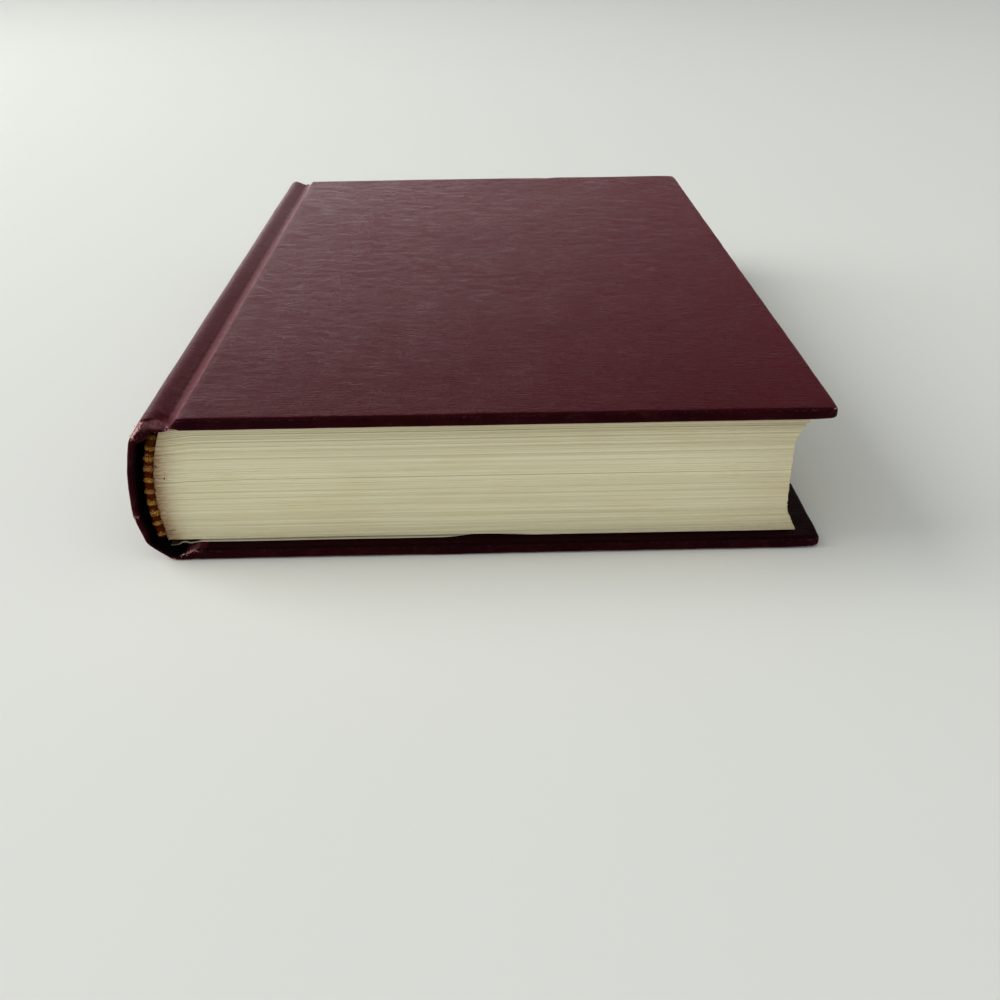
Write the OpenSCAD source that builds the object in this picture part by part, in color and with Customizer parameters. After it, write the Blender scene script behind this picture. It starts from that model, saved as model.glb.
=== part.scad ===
// Case-bound hardback book lying closed on its back cover.
// Millimetres, +Z up. The fore-edge faces +X, the spine -X, the tail -Y.
// Sections are drawn as [distance from the boards' spine edge, height above the table].

/* [Pages] */
// Height of the leaves, head to tail
page_h = 228.6; // [150:0.1:320]
// Width of the leaves, from the rounded back to the hollow of the fore-edge
page_w = 147.25; // [100:0.05:220]
// Thickness of the leaves pressed together, without the endpapers
block_t = 29.58; // [22:0.1:60]
// How much the back of the leaves is rounded
back_round = 2.4; // [1.5:0.1:4]
// How far the roundest line of the back has sunk below the middle
back_sink = 2.65; // [0:0.05:3.5]
// How far the top leaves have settled at their back edge
back_droop = 0.8; // [0.2:0.1:1.2]
// Width of the strip over which the top leaves have settled
droop_w = 8; // [4:0.5:14]
// How far the top leaves fan out at the fore-edge
fan_top = 3.7; // [0:0.1:5]
// How far the bottom leaves fan out at the fore-edge
fan_foot = 2.8; // [0:0.1:5]
// Height of the fanned leaves next to each cover
fan_h = 5.3; // [3:0.1:9]

/* [Covers] */
// How far the boards stand out past the leaves at head and tail
end_square = 3.2; // [2:0.1:6]
// How far the boards stand out past the leaves at the fore-edge
fore_square = 4.5; // [2:0.1:8]
// Thickness of each board
board_t = 2.16; // [1.8:0.02:4]
// Thickness of the covering cloth
cloth_t = 0.4; // [0.3:0.02:0.5]
// Width of the cloth turned in over each board's inner face
turn_in = 15; // [10:0.5:25]
// Rounding of the covered boards' edges
edge_r = 0.8; // [0.7:0.1:1.4]
// Rounding of the covered boards' corners in plan
corner_r = 1.6; // [1:0.1:6]

/* [Endpapers and linings] */
// Thickness of the film of glue, or of air, between layers
glue_t = 0.02; // [0.01:0.01:0.04]
// Thickness of the endpapers
paper_t = 0.15; // [0.1:0.01:0.3]
// Thickness of the paper lining glued over the back
lining_t = 0.2; // [0.1:0.05:0.5]
// Width of the mull glued under each pastedown
mull_wing = 28; // [15:1:40]

/* [Spine] */
// How far the back of the leaves stands out past the boards' spine edge
back_out = 8.65; // [8:0.05:11]
// Hollow between the headbands and the spine
hollow = 1.81; // [0.9:0.01:3]
// Thickness of the card in the spine
inlay_t = 0.9; // [0.5:0.05:1.1]
// Width of the groove at each joint
groove_w = 3.6; // [2.6:0.1:4]
// Depth of the groove at each joint
groove_d = 1; // [0.6:0.05:1.2]
// Height of the worn crease along the spine
crease_h = 12; // [9:0.5:14]
// Height of the slope at the spine's upper edge
shoulder_h = 5.1; // [3:0.1:6]
// Height of the crushed slope at the spine's lower edge
foot_h = 4.9; // [3.5:0.1:5.5]
// How far the spine's lower edge clears the table
spine_lift = 0.1; // [0:0.05:0.3]

/* [Spine outline] */
// How far the upper corner lies in from the spine's outermost line
top_in = 5.9; // [5:0.1:7]
// How far the lower end of the upper slope lies in
slope_in = 2.4; // [1.5:0.1:3.5]
// How far the middle of the upper side lies in
side_in = 0.7; // [0.2:0.1:1.2]
// How far the bend above the foot lies in
bend_in = 2.1; // [1:0.1:2.5]
// How far the spine's foot lies in
foot_in = 7.4; // [6.5:0.1:7.6]
// Rounding of the upper corner
top_r = 2.3; // [0.5:0.1:2.5]
// Rounding of the upper slope's lower end
slope_r = 6; // [3:0.5:9]
// Rounding of the upper side
side_r = 50; // [20:5:60]
// Rounding of the crease
crease_r = 2.5; // [2:0.1:4]
// Rounding of the bends at the foot
foot_r = 3; // [2:0.1:4]

/* [Headbands] */
// Thickness of each headband's rolled edge
bead_d = 1.8; // [1:0.1:2.4]
// Width of the tape that holds the rolled edge
tape_w = 10; // [6:0.5:14]
// How far the headbands stop short of each face of the leaves
band_inset = 1.9; // [1.5:0.1:4]

/* [Joints] */
// Slit left on each side of a joint's line
joint_slit = 0.1; // [0.05:0.01:0.2]

/* [Wear] */
// Distance of the dent in the front cover's head edge from the fore-edge
dent_in = 52; // [10:1:70]
// Width of the dent
dent_w = 6; // [2:0.5:12]
// Depth of the dent
dent_d = 0.8; // [0.2:0.1:1.1]

/* [Hidden] */

// Segments in each part of a curve
back_steps = 14;
fore_steps = 24;
groove_steps = 8;
round_steps = 5;

// Levels, from the table up
cover_t = board_t + 2 * (cloth_t + glue_t);
paper_room = paper_t + glue_t;
leaf_lo = cover_t + 2 * paper_room + glue_t;
leaf_hi = leaf_lo + block_t;
total_t = leaf_hi + leaf_lo;
rim_z = total_t - cover_t;

// The mull lies in one layer with the turned-in cloth, so it is as thick
mull_t = cloth_t;

// Depth of the mull's and the endpaper's outer face below the covers at a joint line
mull_in = groove_d + cloth_t + glue_t;
paper_in = mull_in + mull_t + glue_t;

// Plan sizes, with the gap left between layers that are glued in beside each other
cover_h = page_h + 2 * end_square;
fore_in = page_w - back_out;
board_w = fore_in + fan_top + fore_square;
paste_w = board_w - fore_square;
window_y = cover_h / 2 - turn_in;
window_x = board_w - turn_in;
lay_gap = 0.2;
lining_short = 1;
mull_y = min(window_y, page_h / 2 - tape_w) - lay_gap;
lining_y = page_h / 2 - lining_short;
dent_u = board_w - dent_in;
edge_share = 0.45;
edge_round = min(edge_r, edge_share * cover_t);

// Joint lines, in the middle of each groove
hinge_u = -groove_w / 2;
slit_root = hinge_u - joint_slit;
slit_cover = hinge_u + joint_slit;

// Arc of the rounded back, about a point inside the leaves
back_r = (pow(block_t / 2, 2) + pow(back_round, 2)) / (2 * back_round);
back_cu = back_r - back_out;
back_cz = (leaf_lo + leaf_hi) / 2 - back_sink;

// The rolled edge stands just clear of the back
bead_off = 0.1;
bead_proud = 0.2;
bead_r = back_r + bead_off + bead_d / 2;

// Room for the card, and the spine's wall at head and tail, where the cloth is doubled
card_room = inlay_t + 2 * glue_t;
wall_t = 2 * cloth_t + card_room;
spine_out = back_out + bead_off + bead_d + hollow + wall_t;

// The spine's outline, from the upper joint round to the lower one. For each corner: how far
// it lies in from the spine's outermost line, its height, and the radius of its rounding.
spine_shape = [
    [top_in, total_t, top_r],
    [slope_in, total_t - shoulder_h, slope_r],
    [side_in, (total_t - shoulder_h + crease_h) / 2, side_r],
    [0, crease_h, crease_r],
    [bend_in, foot_h, foot_r],
    [foot_in, spine_lift, foot_r]
];
spine_corners = [for (c = spine_shape) [c[0] - spine_out, c[1]]];
spine_radii = [for (c = spine_shape) c[2]];
least_r = 0.2;
crease_corner = 3;
foot_corner = 4;
last_corner = 5;

// The card runs from just past the spine's upper corner to just short of its foot
card_lap = 1.4;
card_u = spine_corners[0][0] + card_lap;
card_stop = cloth_t + lay_gap;

// Turning a direction to its left, and to length one
function unit(v) = v / norm(v);
function left(v) = [-v[1], v[0]];
function reversed(list) = [for (i = [len(list) - 1:-1:0]) list[i]];

// Corner b of the path a, b, c when both its sides move inwards by d
function inset_corner(a, b, c, d) =
    let (n1 = left(unit(b - a)), n2 = left(unit(c - b)))
    b + d * (n1 + n2) / (1 + n1 * n2);

// Round corner b of the path a, b, c with an arc of radius r
function fillet(a, b, c, r) =
    let (
        to_a = unit(a - b),
        to_c = unit(c - b),
        half = acos(to_a * to_c) / 2,
        centre = b + unit(to_a + to_c) * r / sin(half),
        first = b + to_a * r / tan(half) - centre,
        start = atan2(first[1], first[0])
    )
    [for (i = [0:round_steps])
        let (a = start + (180 - 2 * half) * i / round_steps)
        centre + r * [cos(a), sin(a)]];

// A quarter circle, starting at the given angle
function quarter(cx, cy, r, start) =
    [for (i = [0:round_steps])
        let (a = start + 90 * i / round_steps)
        [cx + r * cos(a), cy + r * sin(a)]];

// The rounded back: a point at one angle, and a whole layer at radius r
function back_point(r, a) = [back_cu - r * cos(a), back_cz + r * sin(a)];
function back_angle(z) = asin((z - back_cz) / back_r);
back_lo = back_angle(leaf_lo);
back_hi = back_angle(leaf_hi - back_droop);
fold_t = glue_t + 2 * paper_t;
fold_lo = back_angle(leaf_lo - fold_t);
fold_hi = back_angle(leaf_hi - back_droop + fold_t);
function back_arc(r) =
    [for (i = [0:back_steps]) back_point(r, back_lo + (back_hi - back_lo) * i / back_steps)];
function back_arc_long(r) =
    concat([back_point(r, fold_lo)], back_arc(r), [back_point(r, fold_hi)]);

// The hollow fore-edge, with leaves fanning out towards each cover
fan_soft = 1.4;
function ramp(x) = (x + sqrt(x * x + fan_soft * fan_soft)) / 2;
function fore_u(z) =
    fore_in
    + fan_top * ramp(z - leaf_hi + fan_h) / ramp(fan_h)
    + fan_foot * ramp(leaf_lo + fan_h - z) / ramp(fan_h);

// The groove, from height face at its rims to height floor at the joint line
function groove_share(u) = (1 + cos(180 * (u - hinge_u) / (groove_w / 2))) / 2;
function groove_line(u0, u1, face, floor) =
    [for (i = [0:groove_steps])
        let (u = u0 + (u1 - u0) * i / groove_steps)
        [u, face + (floor - face) * groove_share(u)]];

// The spine's outline moved inwards by d, rounded at corners i0 to i1
function spine_corner(i, d) =
    let (path = concat([[0, total_t]], spine_corners, [[0, spine_lift]]))
    i < 0 ? [0, total_t - d]
        : i > last_corner ? [0, spine_lift + d]
        : inset_corner(path[i], path[i + 1], path[i + 2], d);
function spine_arcs(d, i0, i1) =
    [for (i = [i0:i1])
        each fillet(
            spine_corner(i - 1, d), spine_corner(i, d), spine_corner(i + 1, d),
            max(spine_radii[i] - d, least_r)
        )];

// Place on the straight above the crushed foot, moved inwards by d and s short of its bend
function above_foot(d, s) =
    let (
        along = unit(spine_corners[foot_corner] - spine_corners[crease_corner]),
        bend = fillet(
            spine_corners[crease_corner], spine_corners[foot_corner],
            spine_corners[last_corner], spine_radii[foot_corner]
        )[0]
    )
    bend + left(along) * d - along * s;

// Grooves and shoulders of the spine's cloth at inset d
function top_groove(d) =
    groove_line(slit_root, -groove_w, total_t - d, total_t - groove_d - d);
function foot_groove(d) =
    groove_line(-groove_w, slit_root, spine_lift + d, groove_d + d);
function outer_line(d) =
    concat(top_groove(d), spine_arcs(d, 0, last_corner), foot_groove(d));

// The line over the card: over its face at inset d, and beyond it at inset d - card_room
function card_line(d, lap) =
    let (bare = d - card_room)
    concat(
        top_groove(bare),
        [[card_u + lap, total_t - bare], [card_u + lap, total_t - d]],
        spine_arcs(d, 0, crease_corner),
        [above_foot(d, card_stop - lap), above_foot(bare, card_stop - lap)],
        spine_arcs(bare, foot_corner, last_corner),
        foot_groove(bare)
    );

// A flyleaf on the leaves' face at height face, and its fold up or down to the joint line
function flyleaf_outline(face, side, back, fold, joint_z) =
    let (
        near = face + side * glue_t,
        far = near + side * paper_t,
        corner = back + [0, side * glue_t],
        droop_u = corner[0] + droop_w,
        along = unit([droop_u, near] - corner),
        crotch = (corner + fold) / 2 + along * 2 * paper_t
    )
    [
        [fore_u(face), far],
        [droop_u, far],
        crotch,
        [slit_root, joint_z - side * paper_t],
        [slit_root, joint_z],
        fold,
        corner,
        [droop_u, near],
        [fore_u(face), near]
    ];

// Extrusions along each axis, and the book's place over the origin
spine_reach = -min([for (p = outer_line(0)) p[0]]);
centre_x = (spine_reach - board_w) / 2;
module along_y(length, outline) {
    rotate([90, 0, 0])
        linear_extrude(height = length, center = true)
            polygon(outline);
}
module along_x(length, outline) {
    rotate([90, 0, 90])
        linear_extrude(height = length)
            polygon(outline);
}
module both_ends() {
    children();
    mirror([0, 1, 0]) children();
}
module in_place() {
    translate([centre_x, 0, 0]) children();
}
module turned_over() {
    translate([0, 0, total_t]) mirror([0, 0, 1]) children();
}

// Covers, built as the front one, with the outline of its dented head edge where it has one
function dent_points(d, dent) = [
    [dent_u + dent_w / 2, cover_h / 2 - d],
    [dent_u, cover_h / 2 - d - dent],
    [dent_u - dent_w / 2, cover_h / 2 - d]
];
module cover_slab(d, dent) {
    lo = rim_z + d;
    hi = total_t - d;
    x1 = board_w - d;
    y1 = cover_h / 2 - d;
    r = edge_round - d;
    rc = corner_r - d;
    intersection() {
        along_y(cover_h, concat(
            [[0, lo]], quarter(x1 - r, lo + r, r, -90), quarter(x1 - r, hi - r, r, 0), [[0, hi]]
        ));
        cover_ends(d, board_w);
        translate([0, 0, rim_z])
            linear_extrude(height = cover_t)
                polygon(concat(
                    [[0, -y1]], quarter(x1 - rc, rc - y1, rc, -90),
                    quarter(x1 - rc, y1 - rc, rc, 0),
                    dent > 0 ? dent_points(d, dent) : [], [[0, y1]]
                ));
    }
}

// A bar as long as the cover is wide, with the rounded section of its head and tail
module cover_ends(d, length) {
    lo = rim_z + d;
    hi = total_t - d;
    y1 = cover_h / 2 - d;
    r = edge_round - d;
    along_x(length, concat(
        quarter(y1 - r, lo + r, r, -90), quarter(y1 - r, hi - r, r, 0),
        quarter(r - y1, hi - r, r, 90), quarter(r - y1, lo + r, r, 180)
    ));
}
module cover_board(dent) {
    intersection() {
        cover_slab(cloth_t + glue_t, dent);
        translate([glue_t, -cover_h / 2, rim_z])
            cube([board_w, cover_h, cover_t]);
    }
}

// Cloth: round the board, turned in on three sides, and out to the joint line
module cover_cloth(dent) {
    lap = 2;
    groove = groove_line(0, slit_cover, total_t, total_t - groove_d);
    under = groove_line(slit_cover, 0, total_t - cloth_t, total_t - groove_d - cloth_t);
    board_z = rim_z + cloth_t;
    difference() {
        cover_slab(0, dent);
        cover_slab(cloth_t, dent);
        translate([-lap, -window_y, rim_z - lap])
            cube([window_x + lap, 2 * window_y, cloth_t + lap]);
    }
    intersection() {
        union() {
            along_y(cover_h, concat(
                [[lap, total_t]], groove, under, [[lap, total_t - cloth_t]]
            ));
            both_ends()
                translate([0, window_y + turn_in / 2, 0])
                    along_y(turn_in, concat(
                        under,
                        [[0, board_z], [lap, board_z], [lap, rim_z], [0, rim_z]],
                        [[slit_cover, total_t - groove_d - 2 * cloth_t]]
                    ));
        }
        translate([-groove_w, 0, 0])
            cover_ends(0, groove_w + lap);
    }
}

// Pastedown: over the turned-in cloth and the mull, and down onto the board between them
module pastedown() {
    well_x = mull_wing + lay_gap;
    well_w = window_x - glue_t - well_x;
    well_y = window_y - glue_t;
    top = rim_z - glue_t;
    difference() {
        union() {
            along_y(page_h, [
                [slit_cover, total_t - paper_in],
                [slit_cover, total_t - paper_in - paper_t],
                [0, top - paper_t],
                [paste_w, top - paper_t],
                [paste_w, top],
                [0, top]
            ]);
            translate([well_x, -well_y, top - paper_t])
                cube([well_w, 2 * well_y, cloth_t + paper_room]);
        }
        translate([well_x + paper_t, paper_t - well_y, top - 2 * paper_t])
            cube([well_w - 2 * paper_t, 2 * (well_y - paper_t), cloth_t + paper_room]);
    }
}
module mull_strip() {
    along_y(2 * mull_y, [
        [slit_cover, total_t - mull_in],
        [slit_cover, total_t - mull_in - mull_t],
        [0, rim_z],
        [mull_wing, rim_z],
        [mull_wing, rim_z + mull_t],
        [0, rim_z + mull_t]
    ]);
}

// A headband: a rolled edge of two threads on a tape that is glued to the back
module end_band() {
    band_lo = leaf_lo + band_inset;
    band_hi = leaf_hi - band_inset;
    angle_lo = back_angle(band_lo);
    angle_hi = back_angle(band_hi);
    tape_y = page_h / 2 - tape_w;
    tape_len = tape_w + bead_proud;
    tape_r = back_r + glue_t;
    intersection() {
        translate([0, tape_y + tape_len / 2, 0])
            along_y(tape_len, concat(back_arc(tape_r), reversed(back_arc(tape_r + mull_t))));
        translate([-spine_out, 0, band_lo])
            cube([spine_out + back_cu, page_h, band_hi - band_lo]);
    }
    translate([back_cu, page_h / 2 + bead_proud, back_cz])
        rotate([90, 0, 0])
            rotate([0, 0, 180 - angle_hi])
                rotate_extrude(angle = angle_hi - angle_lo, $fn = 48)
                    translate([bead_r, 0])
                        circle(d = bead_d, $fn = 24);
}

// Text block
module pages() {
    top_corner = back_point(back_r, back_hi);
    fore = [for (i = [0:fore_steps])
        let (z = leaf_lo + block_t * i / fore_steps)
        [fore_u(z), z]];
    color([0.78, 0.74, 0.6])
        in_place()
            along_y(page_h, concat(
                fore, [[top_corner[0] + droop_w, leaf_hi]], reversed(back_arc(back_r))
            ));
}
module front_flyleaf() {
    color([0.86, 0.82, 0.7])
        in_place()
            along_y(page_h, flyleaf_outline(
                leaf_hi, 1, back_point(back_r, back_hi), back_point(back_r, fold_hi),
                total_t - paper_in
            ));
}
module back_flyleaf() {
    color([0.86, 0.82, 0.7])
        in_place()
            along_y(page_h, flyleaf_outline(
                leaf_lo, -1, back_point(back_r, back_lo), back_point(back_r, fold_lo), paper_in
            ));
}
module mull() {
    inner = back_r + glue_t;
    color([0.85, 0.82, 0.74])
        in_place()
            along_y(2 * mull_y, concat(
                [[slit_root, mull_in + mull_t]],
                back_arc_long(inner),
                [[slit_root, total_t - mull_in - mull_t], [slit_root, total_t - mull_in]],
                reversed(back_arc_long(inner + mull_t)),
                [[slit_root, mull_in]]
            ));
}
module headband() {
    color([0.72, 0.52, 0.2]) in_place() end_band();
}
module tailband() {
    color([0.72, 0.52, 0.2]) in_place() mirror([0, 1, 0]) end_band();
}
module spine_lining() {
    inner = back_r + mull_t + 2 * glue_t;
    color([0.6, 0.52, 0.4])
        in_place()
            along_y(2 * lining_y, concat(back_arc(inner), reversed(back_arc(inner + lining_t))));
}

// Case spine
module spine_inlay() {
    function card_face(d) = concat(
        [[card_u - glue_t, total_t - d]],
        spine_arcs(d, 0, crease_corner),
        [above_foot(d, card_stop + glue_t)]
    );
    outer = cloth_t + glue_t;
    color([0.55, 0.5, 0.42])
        in_place()
            along_y(cover_h - 2 * outer, concat(
                card_face(outer), reversed(card_face(outer + inlay_t))
            ));
}
module spine_cloth() {
    inside = reversed(card_line(wall_t, cloth_t));
    color([0.24, 0.1, 0.12])
        in_place() {
            along_y(cover_h, concat(outer_line(0), reversed(outer_line(cloth_t))));
            both_ends() {
                translate([0, window_y + turn_in / 2, 0])
                    along_y(turn_in, concat(card_line(cloth_t + card_room, 0), inside));
                translate([0, cover_h / 2 - cloth_t / 2, 0])
                    along_y(cloth_t, concat(outer_line(0), inside));
            }
        }
}

// Front cover
module front_board() {
    color([0.5, 0.45, 0.38]) in_place() cover_board(dent_d);
}
module front_cover_cloth() {
    color([0.26, 0.11, 0.13]) in_place() cover_cloth(dent_d);
}
module front_pastedown() {
    color([0.86, 0.82, 0.7]) in_place() pastedown();
}
module front_mull_wing() {
    color([0.85, 0.82, 0.74]) in_place() mull_strip();
}

// Back cover
module back_board() {
    color([0.5, 0.45, 0.38]) in_place() turned_over() cover_board(0);
}
module back_cover_cloth() {
    color([0.26, 0.11, 0.13]) in_place() turned_over() cover_cloth(0);
}
module back_pastedown() {
    color([0.86, 0.82, 0.7]) in_place() turned_over() pastedown();
}
module back_mull_wing() {
    color([0.85, 0.82, 0.74]) in_place() turned_over() mull_strip();
}

pages();
front_flyleaf();
back_flyleaf();
mull();
headband();
tailband();
spine_lining();
spine_inlay();
spine_cloth();
front_board();
front_cover_cloth();
front_pastedown();
front_mull_wing();
back_board();
back_cover_cloth();
back_pastedown();
back_mull_wing();
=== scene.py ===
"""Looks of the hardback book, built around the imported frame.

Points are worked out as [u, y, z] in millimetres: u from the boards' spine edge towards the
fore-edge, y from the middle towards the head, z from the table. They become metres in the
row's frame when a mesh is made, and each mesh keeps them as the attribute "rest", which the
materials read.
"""

import math

import bpy
import numpy as np
from mathutils import Matrix, Vector


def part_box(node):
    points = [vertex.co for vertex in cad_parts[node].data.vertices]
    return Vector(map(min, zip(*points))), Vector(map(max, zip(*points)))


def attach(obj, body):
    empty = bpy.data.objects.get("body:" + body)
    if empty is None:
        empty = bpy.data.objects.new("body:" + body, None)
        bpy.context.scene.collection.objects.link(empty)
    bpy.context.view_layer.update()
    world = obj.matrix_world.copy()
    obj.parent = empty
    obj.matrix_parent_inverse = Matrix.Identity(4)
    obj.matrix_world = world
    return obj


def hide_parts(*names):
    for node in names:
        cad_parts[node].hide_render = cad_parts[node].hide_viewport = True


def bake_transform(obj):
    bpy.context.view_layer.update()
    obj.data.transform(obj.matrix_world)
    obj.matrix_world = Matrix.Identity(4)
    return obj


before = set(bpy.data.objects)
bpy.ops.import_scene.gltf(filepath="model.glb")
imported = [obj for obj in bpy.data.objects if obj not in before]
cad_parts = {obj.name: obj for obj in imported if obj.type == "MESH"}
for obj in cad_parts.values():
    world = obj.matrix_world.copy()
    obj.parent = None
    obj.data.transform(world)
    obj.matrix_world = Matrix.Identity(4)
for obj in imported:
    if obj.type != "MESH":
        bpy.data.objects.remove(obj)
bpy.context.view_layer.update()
MM = 0.001

# Sizes that the part's source also names, in millimetres
TOTAL_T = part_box("front_cover_cloth")[1].z / MM
HALF_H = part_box("front_cover_cloth")[1].y / MM
LEAF_LO, LEAF_HI = [c.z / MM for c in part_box("pages")]
LEAF_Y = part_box("pages")[1].y / MM
GROOVE_W = 3.6
GROOVE_D = 1.0
JOINT_SLIT = 0.1
HINGE_U = -GROOVE_W / 2
COVER_W = (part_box("front_cover_cloth")[1].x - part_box("front_cover_cloth")[0].x) / MM
BOARD_W = COVER_W + HINGE_U + JOINT_SLIT
COVER_T = 3.0
CLOTH_T = 0.4
PAPER_T = 0.15
GLUE_T = 0.02
TURN_IN = 15.0
EDGE_R = 0.8
CORNER_R = 1.6
FORE_SQUARE = 4.5
SPINE_OUT = 14.1
SPINE_LIFT = 0.1
WALL_T = 1.74
MULL_WING = 28.0
BACK_OUT = 8.65
BACK_ROUND = 2.4
BACK_SINK = 2.65
BACK_DROOP = 0.8
DROOP_W = 8.0
FORE_IN = 138.6
FAN_TOP, FAN_FOOT, FAN_H, FAN_SOFT = 3.7, 2.8, 5.3, 1.4
BAND_INSET = 1.9
BEAD_D = 1.8
TAPE_W = 10.0
CENTRE_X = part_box("front_cover_cloth")[1].x / MM - BOARD_W
RIM_Z = TOTAL_T - COVER_T
BLOCK_T = LEAF_HI - LEAF_LO
BACK_R = ((BLOCK_T / 2) ** 2 + BACK_ROUND**2) / (2 * BACK_ROUND)
BACK_CU = BACK_R - BACK_OUT
BACK_CZ = (LEAF_LO + LEAF_HI) / 2 - BACK_SINK

# Sizes of the wear, which only this script has
DENT_U = BOARD_W - 52.0
DENT_W = 6.0
DENT_D = 0.8
# The joint and the spine: where the dip starts, the paler stripe (partly a painted highlight), the
# doubled cloth's depth at the rolled end and elsewhere, how much deeper the dip is at the ends, the
# ends' roundings
DIP_FROM = -6.9
STRIPE_U = -1.25
ROLL_DEPTH = 3.25
FLAT_DEPTH = 0.85
END_CUT = 0.6
ROLL_R = 1.9
CARD_R = 1.15
# The worn patch on the spine's slope: where it starts and how far it runs
PATCH_U, PATCH_Z = -10.9, 32.2
PATCH_DU, PATCH_DZ = 2.6, 3.2
# The lower flyleaf's wavy edge
FRAY_U = [-6.2, -5.1, -4.2, -3.3, -2.4, -1.4, 0.2]
FRAY_Z = [-0.9, -0.75, -0.1, 0, -0.45, -0.2, 0]
# The leaves' layers, and how far the lowest stand back at the tail, up to FOOT_LONG_U
LAYERS = 124
LAYER_GAP = 0.16
FOOT_BACK = 2.6
FOOT_LONG_U = 58.0


# Small tools
def ripple(p, length, seed):
    """Smooth noise, about -1 to 1, with features of the given length, or one length per axis."""
    rng = np.random.default_rng(seed)
    count = 12
    turn = rng.normal(size=(count, 3))
    turn /= np.linalg.norm(turn, axis=1)[:, None]
    turn *= rng.uniform(0.6, 1.5, (count, 1)) * 2 * math.pi / np.asarray(length, float) / 1.6
    phase = rng.uniform(0, 2 * math.pi, count)
    return np.sin(p @ turn.T + phase).sum(-1) * math.sqrt(2 / count) / 1.7


def ease(x):
    """A soft step from 0 to 1."""
    x = np.clip(x, 0, 1)
    return x * x * (3 - 2 * x)


def bell(x, width):
    """1 in the middle, fading to both sides."""
    return np.exp(-((x / width) ** 2))


def in_row(points):
    """[u, y, z] in millimetres to metres in the row's frame."""
    return (np.asarray(points, float) + [CENTRE_X, 0, 0]) * MM


def walk(line, t, steps=None):
    """Points of a polyline at the places t, counted in its corners or in the given steps."""
    steps = range(len(line)) if steps is None else steps
    return np.stack([np.interp(t, steps, column) for column in zip(*line)], -1)


def add_object(name, data):
    made = bpy.data.objects.new(name, data)
    bpy.context.scene.collection.objects.link(made)
    return made


def make_piece(name, points, faces, material, smooth=True, **fields):
    """A mesh object from [u, y, z] points, with "rest" and any further fields as attributes."""
    points = np.asarray(points, float)
    mesh = bpy.data.meshes.new(name)
    mesh.from_pydata(in_row(points).tolist(), [], [list(f) for f in faces])
    own = mesh.attributes.new("rest", "FLOAT_VECTOR", "POINT")
    own.data.foreach_set("vector", points.astype(np.float32).ravel())
    for key, values in fields.items():
        own = mesh.attributes.new(key, "FLOAT", "POINT")
        own.data.foreach_set("value", np.asarray(values, np.float32).ravel())
    if smooth:
        mesh.shade_smooth()
    else:
        mesh.shade_flat()
    mesh.materials.append(material)
    return add_object(name, mesh)


def grid_faces(rows, cols, start=0, close_cols=False, flip=False):
    """Quads of a grid of points that is stored row by row."""
    grid = start + np.arange(rows * cols).reshape(rows, cols)
    if close_cols:
        grid = np.concatenate([grid, grid[:, :1]], 1)
    corners = grid[:-1, :-1], grid[:-1, 1:], grid[1:, 1:], grid[1:, :-1]
    return np.stack(corners[::-1] if flip else corners, -1).reshape(-1, 4).tolist()


def rim_faces(rows, cols, start, lift, flip=False):
    """Quads from a grid's rim to the rim of a like grid, which is stored `lift` points later."""
    grid = start + np.arange(rows * cols).reshape(rows, cols)
    rim = np.concatenate([grid[0, :-1], grid[:-1, -1], grid[-1, :0:-1], grid[:0:-1, 0]]).tolist()
    quads = [(a, b, b + lift, a + lift) for a, b in zip(rim, rim[1:] + rim[:1])]
    return [quad[::-1] for quad in quads] if flip else quads


def thicken(piece, thickness):
    """The sheet's thickness, laid on its inner side, with crisp rims."""
    solid = piece.modifiers.new("thickness", "SOLIDIFY")
    solid.thickness = thickness * MM
    solid.offset = -1.0
    solid.use_even_offset = False
    solid.use_quality_normals = True
    crisp = piece.modifiers.new("crisp_rim", "EDGE_SPLIT")
    crisp.split_angle = math.radians(50)
    return piece


def tube(path, radius, sides):
    """Points and faces of a tube along a path of [u, y, z] points, with a radius at each."""
    along = np.gradient(path, axis=0)
    along /= np.linalg.norm(along, axis=1)[:, None]
    up = np.array([0.0, 0.0, 1.0]) if abs(along[0][2]) < 0.9 else np.array([1.0, 0, 0])
    points = []
    for p, t, r in zip(path, along, radius):
        side = np.cross(t, up)
        side /= np.linalg.norm(side)
        up = np.cross(side, t)
        for k in range(sides):
            a = 2 * math.pi * k / sides
            points.append(p + r * (math.cos(a) * side + math.sin(a) * up))
    faces = grid_faces(len(path), sides, close_cols=True)
    faces.append(range(sides)[::-1])
    faces.append(range((len(path) - 1) * sides, len(path) * sides))
    return points, faces


def tube_piece(name, tubes, material, sides):
    """One mesh of many tubes, each a path and its radii."""
    points, faces = [], []
    for path, radius in tubes:
        own, own_faces = tube(path, radius, sides)
        faces += [[v + len(points) for v in f] for f in own_faces]
        points += own
    return make_piece(name, points, faces, material)


def bend_at_joint(piece, side, u_from=-3.2, u_to=-0.4):
    """Works out the joint's two lines, which nothing uses, and bakes the piece's transform."""
    z = TOTAL_T if side == "front" else 0.0
    start, end = in_row([[u_from, 0, z], [u_to, 0, z]])
    tuple(start)
    tuple(end)
    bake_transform(piece)


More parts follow.
